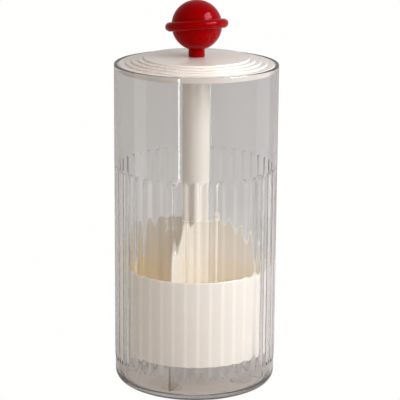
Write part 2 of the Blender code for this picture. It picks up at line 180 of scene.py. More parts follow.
def rounded(corners, closed=False, steps=4):
    """Profile points from corners (radius, height, rounding); a rounding of 0 stays sharp."""
    points = []
    last = len(corners) - 1
    for i, (x, z, rounding) in enumerate(corners):
        if rounding == 0 or (not closed and i in (0, last)):
            points.append((x, z))
            continue
        corner = Vector((x, z))
        before = Vector(corners[i - 1][:2]) - corner
        after = Vector(corners[(i + 1) % len(corners)][:2]) - corner
        half_angle = before.angle(after) / 2
        # Less than half of a side, so that two roundings on it never meet
        reach = min(rounding / tan(half_angle), 0.49 * before.length, 0.49 * after.length)
        radius = reach * tan(half_angle)
        bisector = (before.normalized() + after.normalized()).normalized()
        centre = corner + bisector * radius / sin(half_angle)
        start = corner + before.normalized() * reach - centre
        end = corner + after.normalized() * reach - centre
        first = atan2(start.y, start.x)
        sweep = (atan2(end.y, end.x) - first + pi) % (2 * pi) - pi
        points += arc(centre.x, centre.y, radius, first, first + sweep, steps)
    return points


def new_object(name, data):
    obj = bpy.data.objects.new(name, data)
    bpy.context.scene.collection.objects.link(obj)
    return obj


def skin(name, rings, closed=False):
    """A mesh over a stack of rings of points; a ring of one point is a pole."""
    shape = bmesh.new()
    rows = [[shape.verts.new(p) for p in ring] for ring in rings]
    pairs = list(zip(rows, rows[1:]))
    if closed:
        pairs.append((rows[-1], rows[0]))
    for upper, lower in pairs:
        count = max(len(upper), len(lower))
        for j in range(count):
            k = (j + 1) % count
            corners = [lower[j % len(lower)], lower[k % len(lower)]]
            corners += [upper[k % len(upper)], upper[j % len(upper)]]
            unique = list(dict.fromkeys(corners))
            if len(unique) > 2:
                shape.faces.new(unique)
    bmesh.ops.remove_doubles(shape, verts=shape.verts, dist=WELD)
    bmesh.ops.recalc_face_normals(shape, faces=shape.faces)
    mesh = bpy.data.meshes.new(name)
    shape.to_mesh(mesh)
    shape.free()
    return new_object(name, mesh)


def lathe(name, profile, facets, closed=False):
    """Turn a half profile of (radius, height) about Z."""
    azimuths = [2 * pi * j / facets for j in range(facets)]
    rings = []
    for radius, height in profile:
        rings.append([at(a, radius, height) for a in (azimuths if radius > 0 else azimuths[:1])])
    return skin(name, rings, closed)


def baked(obj):
    """The object with its modifiers applied; a curve becomes a mesh object."""
    bpy.context.view_layer.update()
    evaluated = obj.evaluated_get(bpy.context.evaluated_depsgraph_get())
    mesh = bpy.data.meshes.new_from_object(evaluated)
    name = obj.name
    result = new_object(name + "_baked", mesh)
    result.matrix_world = obj.matrix_world
    bpy.data.objects.remove(obj, do_unlink=True)
    result.name = name
    mesh.name = name
    return result


def combined(obj, others, operation):
    """The object joined with the others, or cut by them; the others are used up."""
    for other in others:
        boolean = obj.modifiers.new("Boolean", "BOOLEAN")
        boolean.operation = operation
        boolean.solver = "EXACT"
        boolean.object = other
    obj = baked(obj)
    for other in others:
        bpy.data.objects.remove(other, do_unlink=True)
    return obj


def bar(name, length, width, low, high, bevel, azimuth):
    """A bevelled bar through the axis, its length along an azimuth."""
    shape = bmesh.new()
    size = Matrix.Diagonal((width, length, high - low, 1.0))
    centre = Matrix.Translation((0.0, 0.0, (high + low) / 2))
    bmesh.ops.create_cube(shape, size=1.0, matrix=Matrix.Rotation(azimuth, 4, "Z") @ centre @ size)
    if bevel:
        bmesh.ops.bevel(shape, geom=shape.edges[:], offset=bevel, segments=2, profile=0.5,
                        affect="EDGES")
    mesh = bpy.data.meshes.new(name)
    shape.to_mesh(mesh)
    shape.free()
    return new_object(name, mesh)


def bottom_of(node):
    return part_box(node)[0].z


# ---- Materials

# Noise scales, in cells per metre, and the depths of what they shape
CLOUD_SCALE = 30.0
DRIFT_SCALE = 45.0
WAVE_SCALE = 55.0
WAVE_DEPTH = 0.0005
RIB_CLOUD_SCALE = 60.0
SWELL_SCALE = 70.0
SWELL_DEPTH = 0.0004
SCUFF_SCALE = 900.0
DRAW_SCALE = 1100.0
DRAW_STRETCH = 0.004
DRAW_DEPTH = 0.00005
RUB_SCALE = 1400.0
MOTTLE_SCALE = 1800.0
GRAIN_SCALE = 3200.0
GRAIN_DEPTH = 0.00003
STEEL_RUB_SCALE = 5000.0

# Clear plastics. SEEN_TINTS colour what shows through the canister, LAMP_TINTS the lamp light
# that passes it; each (low, high, tint) fades in between the two heights.
CLEAR_TINT = (0.929, 0.927, 0.925)
# Darker, browner tint of the base band: painted shade of the shadowed floor seen through it
SHADED_BASE_TINT = (0.905, 0.87, 0.84)
SEEN_TINTS = (0.008, 0.022, CLEAR_TINT), (0.134, 0.142, (0.909, 0.908, 0.908))
LAMP_TINTS = (0.090, 0.108, (0.865, 0.862, 0.857)), (0.150, 0.170, (0.845, 0.842, 0.838))
# Painted highlights: thin white lines in the canister's colour along one flank of each reed
REED_GLINT_TURN = radians(2.5)
REED_GLINT_EDGE = (0.40, 0.92)   # cosines over which the side of a painted highlight line fades in
RUB_EDGE = (0.45, 0.75)         # noise levels over which a rub mark fades in
RIB_TONES = (0.975, 0.972, 0.97), (0.94575, 0.94284, 0.9409)
# Painted shade on the rib's end face and on its foot at the floor
RIB_END_SHADE = (0.62, 0.57, 0.53)
RIB_FOOT_SHADE_FADE = (0.030, 0.040)
RIB_OPENNESS = 0.95
RUBBER_TONES = (0.92, 0.90, 0.87), (0.9062, 0.8865, 0.85695)

# Solid plastics, in two tones that drift into each other, and steel
CREAM_TONES = (0.92, 0.855, 0.79), (0.905, 0.835, 0.765)
# Warmer, brighter colour of the cup's inner faces: painted light bounced round inside the cup
CUP_INSIDE_GLOW = (0.985, 0.905, 0.745)
CUP_LEAK = (0.93, 0.825, 0.625)
INSIDE_EDGE = (0.0429, 0.0433)  # radii from the cup's inner to its outer faces
INSIDE_FLOOR = (0.021, 0.0225)  # heights from the cup's underside to its floor
LID_TONES = (0.88, 0.82, 0.765), (0.865, 0.80, 0.74)
# The divider's cream, darker than the other cream parts as painted shade
DIVIDER_SHADED_TONES = (0.82, 0.765, 0.675), (0.805, 0.75, 0.66)
DIVIDER_LEAK = (0.93, 0.83, 0.62)
RED_TONES = (0.285, 0.0, 0.0), (0.265, 0.0, 0.0)
RED_GLOSS = (1.0, 0.25, 0.40)
WHITE_TONES = (0.78, 0.76, 0.72), (0.74, 0.72, 0.68)
SCATTER_RADIUS = (1.0, 0.55, 0.28)
SCATTER_SCALE = 0.002
STEEL_TONES = (0.60, 0.61, 0.62), (0.72, 0.71, 0.68)


class Nodes:
    """A node tree that is filled one node at a time."""

    def __init__(self, name, data=None):
        self.data = data or bpy.data.materials.new(name)
        self.data.use_nodes = True
        self.tree = self.data.node_tree
        self.tree.nodes.clear()

    def add(self, kind, settings=None, **inputs):
        """A node; an underscore in an input's name stands for a space."""
        node = self.tree.nodes.new(kind)
        for key, value in (settings or {}).items():
            setattr(node, key, value)
        for key, value in inputs.items():
            self.put(node.inputs[key.replace("_", " ")], value)
        return node

    def put(self, socket, value):
        if isinstance(value, bpy.types.NodeSocket):
            self.tree.links.new(value, socket)
        else:
            socket.default_value = value

    def coordinates(self, kind="Object"):
        return self.add("ShaderNodeTexCoord").outputs[kind]

    def axes(self, kind="Object"):
        return self.add("ShaderNodeSeparateXYZ", Vector=self.coordinates(kind)).outputs

    def noise(self, scale, detail=2.0, roughness=0.5, where=None):
        node = self.add("ShaderNodeTexNoise", Scale=scale, Detail=detail, Roughness=roughness)
        self.put(node.inputs["Vector"], where or self.coordinates())
        return node.outputs["Fac"]

    def spread(self, value, low, high, start=0.3, end=0.7):
        """The value from start to end, spread from low to high and held there."""
        node = self.add("ShaderNodeMapRange")
        for index, item in enumerate((value, start, end, low, high)):
            self.put(node.inputs[index], item)
        return node.outputs[0]

    def blend(self, fac, first, second):
        node = self.add("ShaderNodeMix", {"data_type": "RGBA"})
        self.put(node.inputs[0], fac)
        self.put(node.inputs[6], (*first, 1.0) if isinstance(first, tuple) else first)
        self.put(node.inputs[7], (*second, 1.0) if isinstance(second, tuple) else second)
        return node.outputs[2]

    def math(self, operation, first, second=0.0):
        node = self.add("ShaderNodeMath", {"operation": operation})
        self.put(node.inputs[0], first)
        self.put(node.inputs[1], second)
        return node.outputs[0]

    def bump(self, height, strength, distance, normal=None):
        node = self.add("ShaderNodeBump", Strength=strength, Distance=distance, Height=height)
        if normal:
            self.put(node.inputs["Normal"], normal)
        return node.outputs["Normal"]

    def ray(self, kind):
        """1 for rays of a kind, 0 for others."""
        return self.add("ShaderNodeLightPath").outputs[f"Is {kind} Ray"]

    def mix(self, fac, first, second):
        """The first shader at 0, the second at 1."""
        node = self.add("ShaderNodeMixShader")
        self.put(node.inputs[0], fac)
        self.put(node.inputs[1], first.outputs[0])
        self.put(node.inputs[2], second.outputs[0])
        return node

    def output(self, shader, kind="ShaderNodeOutputMaterial"):
        self.add(kind, Surface=shader.outputs[0])
        return self.data


def radius_and_height(n):
    x, y, z = n.axes()
    squares = [n.math("MULTIPLY", axis, axis) for axis in (x, y)]
    return n.math("SQRT", n.math("ADD", *squares)), z


def rub_marks(n):
    return n.noise(RUB_SCALE, detail=4.0, roughness=0.65)


def height_steps(n, height, colour, steps):
    """A colour by height: the first below, then each (low, high, colour) faded in."""
    for low, high, other in steps:
        colour = n.blend(n.spread(height, 0.0, 1.0, low, high), colour, other)
    return colour


def reeded(n, height):
    """1 between the canister's plain bands, 0 on them."""
    low = n.spread(height, 0.0, 1.0, BASE_BAND_HEIGHT, BASE_BAND_HEIGHT + REED_END)
    high = n.spread(height, 1.0, 0.0, REED_TOP - REED_END, REED_TOP)
    return n.math("MULTIPLY", low, high)


def painted_reed_glints(n):
    """1 in a thin line along one flank of each reed, 0 elsewhere: where a painted highlight whitens
    the canister's colour.
    """
    x, y, z = n.axes()
    azimuth = n.math("ARCTAN2", x, n.math("MULTIPLY", y, -1.0))
    turns = n.math("MULTIPLY", n.math("SUBTRACT", azimuth, REED_GLINT_TURN), REED_COUNT)
    line = n.spread(n.math("COSINE", turns), 0.0, 1.0, *REED_GLINT_EDGE)
    return n.math("MULTIPLY", line, reeded(n, z))


def open_to_lamps(n, ior, colour, lamp_colour, roughness, normal):
    """Clear plastic that bends what shows through it and lets lamp light pass straight."""
    rubs = n.spread(rub_marks(n), *roughness, *RUB_EDGE)
    clear = n.add("ShaderNodeBsdfPrincipled", IOR=ior, Transmission_Weight=1.0, Base_Color=colour,
                  Roughness=rubs, Normal=normal)
    straight = n.add("ShaderNodeBsdfTransparent", Color=lamp_colour)
    lamp_light = n.math("MAXIMUM", n.ray("Shadow"), n.ray("Diffuse"))
    return n.output(n.mix(lamp_light, clear, straight))


def canister_plastic(name):
    """Clear grey plastic with faint waves and draw marks along its reeds; browner at the base as
    painted shade, and with a painted highlight line on each reed.
    """
    n = Nodes(name)
    height = n.math("SUBTRACT", n.axes()[2], bottom_of("canister"))
    # Painted shade: browner below the reeds
    seen = height_steps(n, height, SHADED_BASE_TINT, SEEN_TINTS)
    # Painted highlight: white lines along the reeds, where each reed would mirror the strip light
    colour = n.blend(painted_reed_glints(n), seen, (1.0, 1.0, 1.0))
    lamp_colour = height_steps(n, height, CLEAR_TINT, LAMP_TINTS)
    waves = n.bump(n.noise(WAVE_SCALE, detail=1.0), 0.04, WAVE_DEPTH)
    stretched = n.add("ShaderNodeVectorMath", {"operation": "MULTIPLY"})
    n.put(stretched.inputs[0], n.coordinates())
    n.put(stretched.inputs[1], (1.0, 1.0, DRAW_STRETCH))
    marks = n.noise(DRAW_SCALE, where=stretched.outputs[0])
    normal = n.bump(n.math("MULTIPLY", marks, reeded(n, height)), 1.0, DRAW_DEPTH, waves)
    return open_to_lamps(n, 1.5, colour, lamp_colour, roughness=(0.0, 0.05), normal=normal)


def clear_rubber(name):
    """Soft clear rubber, cloudy and duller than the plastic."""
    n = Nodes(name)
    colour = n.blend(n.noise(CLOUD_SCALE, detail=3.0), *RUBBER_TONES)
    waves = n.bump(n.noise(WAVE_SCALE, detail=1.0), 0.08, WAVE_DEPTH)
    return open_to_lamps(n, 1.42, colour, (*RUBBER_TONES[0], 1.0), roughness=(0.12, 0.22),
                         normal=waves)


def rib_plastic(name):
    """The clear plastic of a thin rib: almost all see-through, with painted shade on its end and
    foot.
    """
    n = Nodes(name)
    radius, height = radius_and_height(n)
    # Painted shade: the rib's end and its foot at the floor's rounding darkened
    low = n.math("LESS_THAN", height, bottom_of("canister") + FLOOR_TOP + HOLD)
    foot = n.math("MULTIPLY", low, n.spread(radius, 0.0, 1.0, *RIB_FOOT_SHADE_FADE))
    painted_shade = n.math("MAXIMUM", foot, n.math("GREATER_THAN", radius, RIB_REACH - HOLD))
    through = n.add("ShaderNodeBsdfTransparent", Color=n.blend(painted_shade, RIB_TONES[0], RIB_END_SHADE))
    cloud = n.blend(n.noise(RIB_CLOUD_SCALE, detail=3.0), *RIB_TONES)
    rubs = n.spread(rub_marks(n), 0.02, 0.12)
    clear = n.add("ShaderNodeBsdfPrincipled", IOR=1.5, Transmission_Weight=1.0, Base_Color=cloud,
                  Roughness=rubs)
    return n.output(n.mix(RIB_OPENNESS, clear, through))


def moulded_plastic(name, tones, roughness=0.20, grain=0.05, subsurface=0.10, ior=1.5,
                    gloss=(1.0, 1.0, 1.0), inside=None, leak=None):
    """Glossy moulded plastic: a faint drift of colour, fine grain and hairline scuffs.

    inside is a warmer, brighter colour on the cup's inner faces, painted light bounced round in the
    cup, and leak that of lamp light through a thin wall.
    """
    n = Nodes(name)
    colour = n.blend(n.noise(DRIFT_SCALE, detail=3.0), *tones)
    # Painted light: the cup's inner faces warmer and brighter than its outside
    if inside:
        radius, height = radius_and_height(n)
        glow_within = n.spread(radius, 1.0, 0.0, *INSIDE_EDGE)
        above = n.spread(height, 0.0, 1.0, *INSIDE_FLOOR)
        colour = n.blend(n.math("MULTIPLY", glow_within, above), colour, inside)
    marks = n.noise(SCUFF_SCALE, detail=6.0, roughness=0.7)
    scuffs = n.spread(marks, roughness * 0.8, roughness * 1.3)
    fine = n.bump(n.noise(GRAIN_SCALE), grain, GRAIN_DEPTH)
    swell = n.bump(n.noise(SWELL_SCALE, detail=1.0), grain, SWELL_DEPTH, fine)
    shader = n.add("ShaderNodeBsdfPrincipled", IOR=ior, Base_Color=colour, Roughness=scuffs,
                   Normal=swell, Subsurface_Weight=subsurface, Subsurface_Radius=SCATTER_RADIUS,
                   Subsurface_Scale=SCATTER_SCALE, Specular_Tint=(*gloss, 1.0))
    if not leak:
        return n.output(shader)
    thin = n.add("ShaderNodeBsdfTransparent", Color=(*leak, 1.0))
    return n.output(n.mix(n.ray("Shadow"), shader, thin))


def plated_steel(name):
    """Zinc plating: cool grey with a faint crystalline mottle and fine rub marks."""
    n = Nodes(name)
    mottle = n.noise(MOTTLE_SCALE, detail=3.0)
    rubs = n.spread(n.noise(STEEL_RUB_SCALE, detail=4.0), 0.22, 0.42)
    return n.output(n.add("ShaderNodeBsdfPrincipled", Metallic=1.0, Roughness=rubs,
                          Base_Color=n.blend(mottle, *STEEL_TONES),
                          Normal=n.bump(mottle, 0.15, GRAIN_DEPTH)))


CLEAR = canister_plastic("clear_grey_plastic")
RIB_CLEAR = rib_plastic("clear_rib_plastic")
RUBBER = clear_rubber("clear_soft_rubber")
CREAM = moulded_plastic("cream_gloss_plastic", CREAM_TONES)
CUP_CREAM = moulded_plastic("cream_cup_plastic", CREAM_TONES, inside=CUP_INSIDE_GLOW, leak=CUP_LEAK)
LID_CREAM = moulded_plastic("cream_lid_plastic", LID_TONES, roughness=0.04, grain=0.03)
SHADED_DIVIDER_CREAM = moulded_plastic("cream_divider_plastic_shaded", DIVIDER_SHADED_TONES, leak=DIVIDER_LEAK)
RED = moulded_plastic("red_gloss_plastic", RED_TONES, roughness=0.06, subsurface=0.0, ior=1.18,
                      gloss=RED_GLOSS)
WHITE = moulded_plastic("white_plain_plastic", WHITE_TONES, roughness=0.42, grain=0.15,
                        subsurface=0.0)
STEEL = plated_steel("zinc_plated_steel")


def finish(obj, material, body, nodes, height=0.0, smooth_below=32.0):
    """Material, shading, place, and the body and CAD nodes of a piece."""
    obj.data.materials.clear()
    obj.data.materials.append(material)
    obj.data.shade_smooth()
    obj.data.set_sharp_from_angle(angle=radians(smooth_below))
    obj.data.transform(Matrix.Translation((0.0, 0.0, height)))
    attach(obj, body)
    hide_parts(*nodes)


# ---- Canister


def reed_columns():
    """Azimuth and offset of each column round the wall.

    The offset is 0 in the middle of the groove between two reeds, and -1 or 1 on a crest.
    """
    return [(REED_TURN + (k + 0.5 + offset / 2) * 2 * pi / REED_COUNT, offset)
            for k in range(REED_COUNT) for offset in REED_COLUMNS]


def plain_ring(radius, height):
    """A plain ring with the same columns as the reeds; on the axis, a pole."""
    if radius == 0:
        return [Vector((0.0, 0.0, height))]
    return [at(azimuth, radius, height) for azimuth, offset in reed_columns()]


def reed_ring(height, share, bend=0.0):
    """A ring with a share of the grooves' depth.

    Towards the crests it rises by bend times the length that a groove's round end falls short.
    """
    ring = []
    for azimuth, offset in reed_columns():
        round_end = REED_END * (1 - sqrt(1 - offset ** 2))
        level = height + bend * round_end
        plain = CANISTER_RADIUS if level > REED_TOP / 2 else BASE_RADIUS
        reed = CANISTER_RADIUS - REED_DEPTH * (1 + cos(pi * offset)) / 2
        ring.append(at(azimuth, plain * (1 - share) + reed * share, level))
    return ring


def reed_rings():
    """Rings of the reeded wall from the top of its reeds to their bottom."""
    sinks = [(t * REED_EDGE, t * t * (3 - 2 * t)) for t in REED_END_STEPS]
    span_top = REED_TOP - REED_END - 2 * REED_EDGE
    span_low = BASE_BAND_HEIGHT + REED_END + 2 * REED_EDGE
    span = span_low - span_top
    rings = [reed_ring(REED_TOP - drop, share, bend=-1.0) for drop, share in sinks]
    rings += [reed_ring(span_top + span * k / REED_SPANS, 1.0) for k in range(REED_SPANS + 1)]
    rings += [reed_ring(BASE_BAND_HEIGHT + rise, share, bend=1.0)
              for rise, share in reversed(sinks)]
    return rings


def canister_shell():
    inside = rounded([
        (0.0, FLOOR_TOP, 0.0),
        (MOUTH_RADIUS / 2, FLOOR_TOP, 0.0),
        (MOUTH_RADIUS, FLOOR_TOP, FLOOR_ROUNDING),
        (MOUTH_RADIUS, FLOOR_TOP + FLOOR_ROUNDING + HOLD, 0.0),
        (MOUTH_RADIUS, CANISTER_HEIGHT - LIP_ROUNDING - HOLD, 0.0),
        (MOUTH_RADIUS, CANISTER_HEIGHT, LIP_ROUNDING),
        (CANISTER_RADIUS, CANISTER_HEIGHT, RIM_ROUNDING),
        (CANISTER_RADIUS, CANISTER_HEIGHT - RIM_ROUNDING - HOLD, 0.0),
        (CANISTER_RADIUS, REED_TOP + WALL_HOLD, 0.0),
        (CANISTER_RADIUS, REED_TOP + REED_HOLD, 0.0),
    ], steps=5)
    bend_x = BASE_RADIUS - BASE_ROUNDING
    foot_angle = -acos((FOOT_RADIUS - bend_x) / BASE_ROUNDING)
    bend = arc(bend_x, BASE_ROUNDING, BASE_ROUNDING, 0.0, foot_angle, steps=8)
    foot = rounded([
        bend[-1] + (0.0,),
        (FOOT_RADIUS, 0.0, FOOT_ROUNDING),
        (FOOT_BORE, 0.0, FOOT_ROUNDING),
        (FOOT_BORE, FOOT_RECESS, FOOT_ROUNDING),
        (FOOT_BORE / 2, FOOT_RECESS, 0.0),
        (0.0, FOOT_RECESS, 0.0),
    ], steps=3)
    base = [(BASE_RADIUS, BASE_BAND_HEIGHT - REED_HOLD)] + bend + foot[1:]
    rings = [plain_ring(x, z) for x, z in inside]
    rings += reed_rings()
    rings += [plain_ring(x, z) for x, z in base]
    obj = skin("canister_shell", rings)
    finish(obj, CLEAR, "canister", ["canister"], bottom_of("canister"),
           smooth_below=28.0)


def canister_ribs():
    """The four floor ribs that carry the cup, as one crossed piece on the floor."""
    ribs = [
        bar(f"rib_{i}", 2 * RIB_REACH, RIB_THICKNESS, FLOOR_TOP + RIB_FOOT_GAP,
            FLOOR_TOP + RIB_HEIGHT, RIB_BEVEL, RIB_TURN + i * pi / 2)
        for i in range(2)
    ]
    obj = combined(ribs[0], ribs[1:], "UNION")
    obj.name = "canister_ribs"
    finish(obj, RIB_CLEAR, "canister", ["canister"], bottom_of("canister"))


def foot_pads():
    for i in range(1, 5):
        low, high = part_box(f"foot_pad_{i}")
        radius = (high.x - low.x) / 2
        thickness = high.z - low.z
        profile = rounded([
            (0.0, thickness, 0.0),
            (radius, thickness, thickness / 5),
            (radius, thickness / 3, 0.0),
            (radius, 0.0, thickness / 3),
            (radius * 0.6, 0.0, 0.0),
            (0.0, 0.0, 0.0),
        ])
        pad = lathe(f"foot_pad_{i}_dot", profile, facets=48)
        centre = (low + high) / 2
        pad.data.transform(Matrix.Translation((centre.x, centre.y, low.z)))
        finish(pad, RUBBER, "canister", [f"foot_pad_{i}"])


# ---- Core


def cup_inner_radius(height):
    return CUP_RADIUS - CUP_DRAFT * (1 - height / CUP_HEIGHT) - CUP_WALL


def cup():
    profile = rounded([
        (CUP_RADIUS, CUP_HEIGHT, CUP_LIP),
        (CUP_RADIUS - CUP_DRAFT, 0.0, CUP_FOOT_ROUNDING),
        (CUP_RECESS_RADIUS, 0.0, CUP_RECESS_ROUNDING),
        (CUP_RECESS_RADIUS, CUP_BOSS_RECESS, FINE_EDGE),
        (SCREW_HOLE, CUP_BOSS_RECESS, 0.0),
        (SCREW_HOLE, CUP_BOSS_TOP, 0.0),
        (POST_RADIUS, CUP_BOSS_TOP, EASED_EDGE),
        (POST_RADIUS, CUP_FLOOR, EASED_EDGE),
        (cup_inner_radius(CUP_FLOOR), CUP_FLOOR, CUP_CORNER),
        (cup_inner_radius(CUP_HEIGHT), CUP_HEIGHT, CUP_LIP),
    ], closed=True, steps=5)
    obj = lathe("cup_shell", profile, facets=160, closed=True)
    finish(obj, CUP_CREAM, "turning_cup", ["brush_cup"], bottom_of("brush_cup"))


def divider_arm(name, azimuth, low, foot, reach):
    """One arm with a round shoulder, cut from sheet and eased along its edges.

    foot is its outer radius at the cup's floor, and reach that at the cup's lip.
    """
    curve = bpy.data.curves.new(name, "CURVE")
    curve.dimensions = "2D"
    curve.fill_mode = "BOTH"
    curve.extrude = DIVIDER_THICKNESS / 2 - DIVIDER_EDGE
    curve.bevel_depth = DIVIDER_EDGE
    curve.bevel_resolution = 2
    curve.offset = -DIVIDER_EDGE
    shoulder = arc(reach - DIVIDER_SHOULDER, CUP_HEIGHT, DIVIDER_SHOULDER, 0.0, pi / 2, steps=28)
    corner = arc(foot - CUP_CORNER, low + CUP_CORNER, CUP_CORNER, -pi / 2, 0.0, steps=5)
    root = (HUB_BORE + HUB_RADIUS) / 2
    points = [(root, low)] + corner + shoulder + [(root, CUP_HEIGHT + DIVIDER_SHOULDER)]
    spline = curve.splines.new("POLY")
    spline.points.add(len(points) - 1)
    for point, (x, z) in zip(spline.points, points):
        point.co = (x, z, 0.0, 1.0)
    spline.use_cyclic_u = True
    obj = baked(new_object(name, curve))
    turn = Matrix.Rotation(azimuth - pi / 2, 4, "Z") @ Matrix.Rotation(pi / 2, 4, "X")
    obj.data.transform(turn)
    shape = bmesh.new()
    shape.from_mesh(obj.data)
    bmesh.ops.remove_doubles(shape, verts=shape.verts, dist=WELD)
    bmesh.ops.recalc_face_normals(shape, faces=shape.faces)
    shape.to_mesh(obj.data)
    shape.free()
    return obj


def divider():
    low = CUP_FLOOR + SEAT_GAP
    top = CUP_HEIGHT + DIVIDER_SHOULDER + HUB_RISE
    profile = rounded([
        (HUB_RADIUS, top, HUB_ROUNDING),
        (HUB_RADIUS, low, 0.0),
        (HUB_BORE, low, 0.0),
        (HUB_BORE, top, HUB_ROUNDING),
    ], closed=True)
    hub = lathe("divider_vanes", profile, facets=96, closed=True)
    arm_low = low + ARM_LIFT
    arms = [
        divider_arm(f"arm_{i}", DIVIDER_TURN + i * pi / 2, arm_low,
                    cup_inner_radius(arm_low) - SEAT_GAP, cup_inner_radius(CUP_HEIGHT) - SEAT_GAP)
        for i in range(4)
    ]
    obj = combined(hub, arms, "UNION")
    finish(obj, SHADED_DIVIDER_CREAM, "turning_cup", ["divider_cross"], bottom_of("brush_cup"))


def post():
    low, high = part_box("centre_post")
    length = high.z - low.z
    profile = rounded([
        (POST_RADIUS, length, POST_ROUNDING),
        (POST_RADIUS, 0.0, POST_ROUNDING),
        (POST_BORE, 0.0, POST_ROUNDING),
        (POST_BORE, length, POST_ROUNDING),
    ], closed=True, steps=2)
    obj = lathe("post_tube", profile, facets=128, closed=True)
    finish(obj, CREAM, "lift_core", ["centre_post"], low.z)


def plug(node, hole):
    profile = rounded([
        (PLUG_RADIUS, PLUG_LENGTH, PLUG_ROUNDING),
        (PLUG_RADIUS, 0.0, PLUG_ROUNDING),
        (hole, 0.0, EASED_EDGE),
        (hole, PLUG_LENGTH, EASED_EDGE),
    ], closed=True, steps=2)
    obj = lathe(node + "_body", profile, facets=64, closed=True)
    finish(obj, WHITE, "lift_core", [node], bottom_of(node))


def thread_ring(radius, height):
    """A plain ring with a thread's facets; on the axis, a pole."""
    if radius == 0:
        return [Vector((0.0, 0.0, height))]
    return [at(2 * pi * j / THREAD_FACETS, radius, height) for j in range(THREAD_FACETS)]


def thread_rings(radius, pitch, low, high):
    """Rings of a screw thread between two heights, its ends run out."""
    rows = int((high - low) / (pitch / THREAD_ROWS))
    rings = []
    for i in range(rows + 1):
        height = low + (high - low) * i / rows
        run_out = min(1.0, i / THREAD_ROWS, (rows - i) / THREAD_ROWS)
        ring = []
        for j in range(THREAD_FACETS):
            azimuth = 2 * pi * j / THREAD_FACETS
            turn = (height / pitch - azimuth / (2 * pi)) % 1.0
            groove = 1 - abs(2 * turn - 1)
            ring.append(at(azimuth, radius - THREAD_DEPTH * groove * run_out, height))
        rings.append(ring)
    return rings


def cup_screw():
    low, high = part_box("cup_screw")
    length = high.z - low.z
    neck_top = SCREW_HEAD_HEIGHT + SCREW_NECK
    head = rounded([
        (0.0, 0.0, 0.0),
        (SCREW_HEAD_RADIUS / 2, 0.0, 0.0),
        (SCREW_HEAD_RADIUS, 0.0, SCREW_HEAD_ROUNDING),
        (SCREW_HEAD_RADIUS, SCREW_HEAD_HEIGHT, CRISP_EDGE),
        (SCREW_RADIUS, SCREW_HEAD_HEIGHT, CRISP_EDGE),
        (SCREW_RADIUS, neck_top, 0.0),
    ])
    rings = [thread_ring(x, z) for x, z in head]
    rings += thread_rings(SCREW_RADIUS, SCREW_PITCH, neck_top + CRISP_EDGE,
                          length - SCREW_RADIUS / 2)
    rings += [thread_ring(SCREW_RADIUS / 2, length - CRISP_EDGE), thread_ring(0, length)]
    obj = skin("cup_screw_cross_head", rings)
    slots = [
        bar(f"drive_{i}", DRIVE_LENGTH, DRIVE_WIDTH, -DRIVE_DEPTH, DRIVE_DEPTH, 0.0,
            DRIVE_TURN + i * pi / 2)
        for i in range(2)
    ]
    obj = combined(obj, slots, "DIFFERENCE")
    finish(obj, STEEL, "lift_core", ["cup_screw"], low.z)


def knob_stud():
    low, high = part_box("knob_stud")
    length = high.z - low.z
    chamfer = STUD_RADIUS / 4
    rings = [thread_ring(0, 0.0), thread_ring(STUD_RADIUS - chamfer, 0.0)]
    rings += thread_rings(STUD_RADIUS, STUD_PITCH, chamfer, length - chamfer)
    rings += [thread_ring(STUD_RADIUS - chamfer, length), thread_ring(0, length)]
    obj = skin("knob_stud_threaded", rings)
    finish(obj, STEEL, "lift_core", ["knob_stud"], low.z)


def washer():
    low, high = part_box("cup_washer")
    thickness = high.z - low.z
    profile = rounded([
        (WASHER_RADIUS, thickness, FINE_EDGE),
        (WASHER_RADIUS, 0.0, FINE_EDGE),
        (SCREW_HOLE, 0.0, CRISP_EDGE),
        (SCREW_HOLE, thickness, CRISP_EDGE),
    ], closed=True, steps=2)
    obj = lathe("cup_washer_disc", profile, facets=64, closed=True)
    finish(obj, STEEL, "lift_core", ["cup_washer"], low.z)


def lid():
    rise = LID_STEPS * LID_STEP_HEIGHT
    band_edge = LID_RADIUS - LID_BAND
    corners = [(STUD_HOLE, rise, 0.0)]
    for i in range(LID_STEPS):
        edge = band_edge - (LID_STEPS - 1 - i) * LID_STEP_WIDTH
        level = rise - i * LID_STEP_HEIGHT
        corners.append((edge, level, LID_STEP_ROUNDING))
        corners.append((edge, level - LID_STEP_HEIGHT - LID_GROOVE, CRISP_EDGE))
        corners.append((edge + 2 * LID_GROOVE, level - LID_STEP_HEIGHT, CRISP_EDGE))
    ceiling = rise - LID_WALL
    socket = POST_RADIUS + SEAT_GAP
    bore = LID_RADIUS - LID_WALL
    corners += [
        (LID_RADIUS, 0.0, LID_EDGE_ROUNDING),
        (LID_RADIUS, -LID_SKIRT, EASED_EDGE),
        (bore, -LID_SKIRT, EASED_EDGE),
        (bore, -LID_WALL, SOFT_EDGE),
        (band_edge - LID_STEPS * LID_STEP_WIDTH, ceiling, SOFT_EDGE),
        (LID_SOCKET_RADIUS, ceiling, SOFT_EDGE),
        (LID_SOCKET_RADIUS, ceiling - LID_SOCKET_DEPTH, SOFT_EDGE),
        (socket, ceiling - LID_SOCKET_DEPTH, SOFT_EDGE),
        (socket, ceiling, 0.0),
        (STUD_HOLE, ceiling, 0.0),
    ]
    profile = rounded(corners, closed=True, steps=5)
    obj = lathe("lid_stepped", profile, facets=192, closed=True)
    finish(obj, LID_CREAM, "lift_core", ["lid"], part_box("lid")[1].z - rise)


